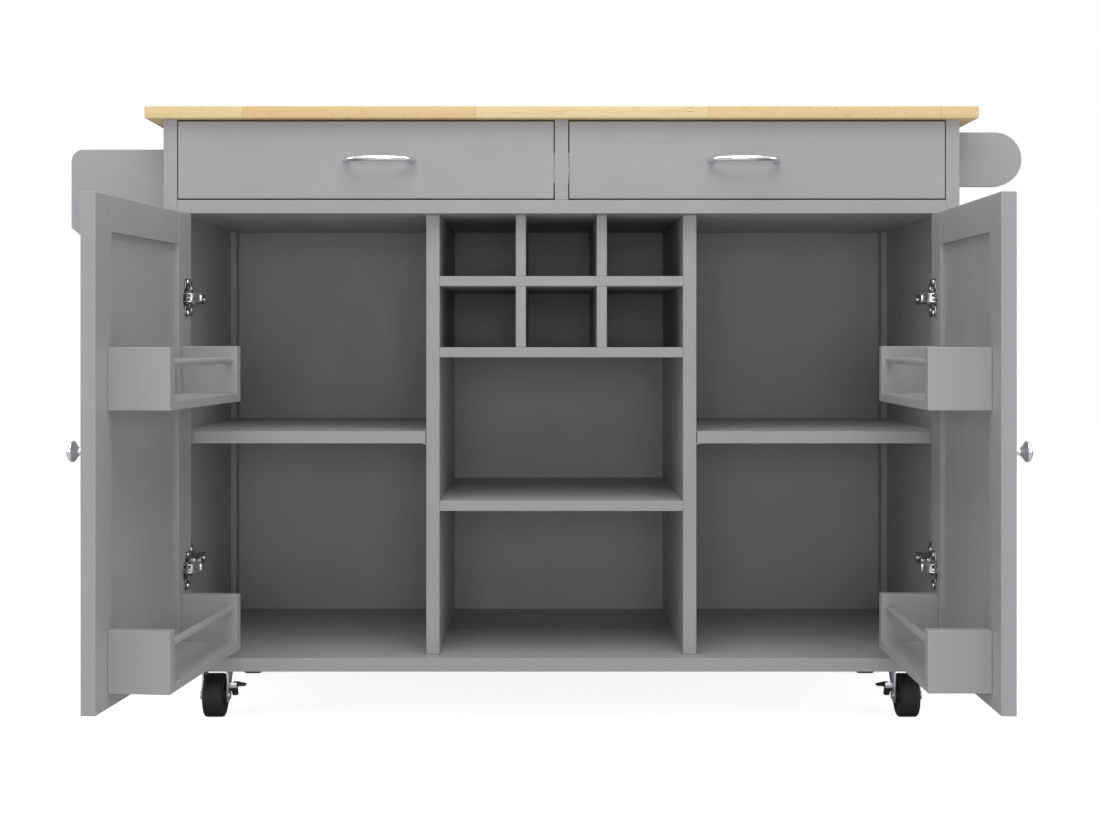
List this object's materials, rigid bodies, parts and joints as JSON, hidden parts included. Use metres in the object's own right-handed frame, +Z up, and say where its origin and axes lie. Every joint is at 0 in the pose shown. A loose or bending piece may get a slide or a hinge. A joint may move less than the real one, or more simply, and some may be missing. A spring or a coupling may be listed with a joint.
{
  "type": "kitchen island",
  "caption": "Kitchen island on casters with a wood worktop, drawers, cupboards with door racks, open bottle cells and shelves, a spice rack and a towel rail.",
  "frame": {"origin": "on the floor under the middle of the cart's body", "axes": "+X to the right seen from the front, +Y to the back, +Z up"},
  "size_m": [1.4267, 0.8274, 0.91],
  "materials": {
    "oak": "satin lacquered light hardwood",
    "grey_paint": "satin grey paint on fibreboard",
    "back_board": "matt grey board",
    "drawer_board": "matt grey board",
    "chrome": "polished chrome",
    "nickel": "nickel-plated steel",
    "zinc": "zinc-plated steel",
    "tread": "matt black",
    "brake_black": "matt black"
  },
  "bodies": {
    "cart": {"back_panel": "back_board", "bottom_panel": "grey_paint", "caster_plates": "zinc", "caster_screws": "zinc", "corner_battens": "grey_paint", "drawer_deck": "grey_paint", "drawer_divider": "grey_paint", "drawer_runners": "zinc", "hinge_arms": "nickel", "middle_shelf": "grey_paint", "partition_left": "grey_paint", "partition_right": "grey_paint", "shelf_pins": "zinc", "side_panel_left": "grey_paint", "side_panel_right": "grey_paint", "side_shelf_left": "grey_paint", "side_shelf_right": "grey_paint", "spice_rack_boards": "grey_paint", "spice_rack_rail": "grey_paint", "top_rear_rail": "grey_paint", "towel_rack_ends": "grey_paint", "towel_rod": "grey_paint", "wine_dividers": "grey_paint", "wine_shelves": "grey_paint", "worktop": "oak"},
    "door_left": {"door_frame_left": "grey_paint", "door_panel_left": "grey_paint", "door_knob_left": "chrome", "hinge_cups_left": "nickel", "door_rack_left": "grey_paint", "door_rack_rails_left": "grey_paint"},
    "links_left": {"hinge_links_left": "nickel"},
    "drawer_left": {"drawer_front_left": "grey_paint", "drawer_box_left": "drawer_board", "drawer_bottom_left": "back_board", "drawer_slides_left": "zinc", "drawer_pull_left": "chrome"},
    "door_right": {"door_frame_right": "grey_paint", "door_panel_right": "grey_paint", "door_knob_right": "chrome", "hinge_cups_right": "nickel", "door_rack_right": "grey_paint", "door_rack_rails_right": "grey_paint"},
    "links_right": {"hinge_links_right": "nickel"},
    "drawer_right": {"drawer_front_right": "grey_paint", "drawer_box_right": "drawer_board", "drawer_bottom_right": "back_board", "drawer_slides_right": "zinc", "drawer_pull_right": "chrome"},
    "fork_front_left": {"caster_fork_front_left": "zinc"},
    "wheel_front_left": {"caster_wheel_front_left": "tread"},
    "brake_front_left": {"caster_brake_front_left": "brake_black"},
    "fork_front_right": {"caster_fork_front_right": "zinc"},
    "wheel_front_right": {"caster_wheel_front_right": "tread"},
    "brake_front_right": {"caster_brake_front_right": "brake_black"},
    "fork_rear_left": {"caster_fork_rear_left": "zinc"},
    "wheel_rear_left": {"caster_wheel_rear_left": "tread"},
    "fork_rear_right": {"caster_fork_rear_right": "zinc"},
    "wheel_rear_right": {"caster_wheel_rear_right": "tread"}
  },
  "joints": [
    {"name": "door_left_hinge", "type": "hinge", "parent": "cart", "child": "door_left", "pos_m": [-0.5643, -0.221, 0.427], "axis": [0, 0, -1], "range_deg": [-95.8, 4.2]},
    {"name": "links_left_turn", "type": "hinge", "parent": "door_left", "child": "links_left", "pos_m": [-0.54862, -0.22993, 0.427], "axis": [0, 0, 1], "range_deg": [-162.2, 8.07]},
    {"name": "drawer_left_slide", "type": "slide", "parent": "cart", "child": "drawer_left", "axis": [0, -1, 0], "range_m": [0, 0.27]},
    {"name": "door_right_hinge", "type": "hinge", "parent": "cart", "child": "door_right", "pos_m": [0.5643, -0.221, 0.427], "axis": [0, 0, 1], "range_deg": [-89.5, 10.5]},
    {"name": "links_right_turn", "type": "hinge", "parent": "door_right", "child": "links_right", "pos_m": [0.54774, -0.22816, 0.427], "axis": [0, 0, -1], "range_deg": [-154.81, 19.04]},
    {"name": "drawer_right_slide", "type": "slide", "parent": "cart", "child": "drawer_right", "axis": [0, -1, 0], "range_m": [0, 0.27]},
    {"name": "swivel_front_left", "type": "hinge", "parent": "cart", "child": "fork_front_left", "pos_m": [-0.521, -0.138, 0.07], "axis": [0, 0, 1], "continuous": true},
    {"name": "roll_front_left", "type": "hinge", "parent": "fork_front_left", "child": "wheel_front_left", "pos_m": [-0.521, -0.158, 0.0325], "axis": [1, 0, 0], "continuous": true},
    {"name": "brake_front_left_pedal", "type": "hinge", "parent": "fork_front_left", "child": "brake_front_left", "pos_m": [-0.4945, -0.14, 0.0448], "axis": [0, 1, 0], "range_deg": [0, 6]},
    {"name": "swivel_front_right", "type": "hinge", "parent": "cart", "child": "fork_front_right", "pos_m": [0.521, -0.138, 0.07], "axis": [0, 0, 1], "continuous": true},
    {"name": "roll_front_right", "type": "hinge", "parent": "fork_front_right", "child": "wheel_front_right", "pos_m": [0.521, -0.158, 0.0325], "axis": [1, 0, 0], "continuous": true},
    {"name": "brake_front_right_pedal", "type": "hinge", "parent": "fork_front_right", "child": "brake_front_right", "pos_m": [0.4945, -0.14, 0.0448], "axis": [0, -1, 0], "range_deg": [0, 6]},
    {"name": "swivel_rear_left", "type": "hinge", "parent": "cart", "child": "fork_rear_left", "pos_m": [-0.521, 0.138, 0.07], "axis": [0, 0, 1], "continuous": true},
    {"name": "roll_rear_left", "type": "hinge", "parent": "fork_rear_left", "child": "wheel_rear_left", "pos_m": [-0.521, 0.158, 0.0325], "axis": [1, 0, 0], "continuous": true},
    {"name": "swivel_rear_right", "type": "hinge", "parent": "cart", "child": "fork_rear_right", "pos_m": [0.521, 0.138, 0.07], "axis": [0, 0, 1], "continuous": true},
    {"name": "roll_rear_right", "type": "hinge", "parent": "fork_rear_right", "child": "wheel_rear_right", "pos_m": [0.521, 0.158, 0.0325], "axis": [1, 0, 0], "continuous": true}
  ],
  "couplings": [
    {"joint": "links_left_turn", "follows": "door_left_hinge", "ratio": 1.6827},
    {"joint": "links_right_turn", "follows": "door_right_hinge", "ratio": 1.7186}
  ]
}
